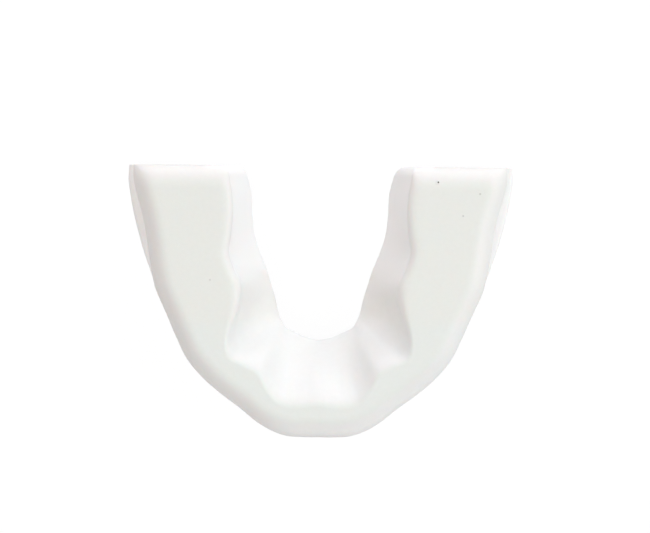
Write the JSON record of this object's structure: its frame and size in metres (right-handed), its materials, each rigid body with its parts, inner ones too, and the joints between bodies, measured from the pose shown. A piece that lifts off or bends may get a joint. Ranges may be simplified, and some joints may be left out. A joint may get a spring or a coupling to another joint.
{
  "type": "mouthguard",
  "caption": "Moulded white mouthguard: a horseshoe trough for one row of teeth, with a flat bite face and an outer and an inner flange.",
  "frame": {"origin": "bottom centre of the guard's box: midway across the arch and midway from front to back ends, in the plane of the outer flange's rim", "axes": "+Z out of the flat bite face, +Y towards the open back ends, -Y towards the front teeth, X across the arch"},
  "size_m": [0.0648, 0.0455, 0.018],
  "materials": {
    "white_soft_plastic": "satin, opaque white"
  },
  "bodies": {
    "root": {"mouthguard": "white_soft_plastic"}
  },
  "joints": []
}
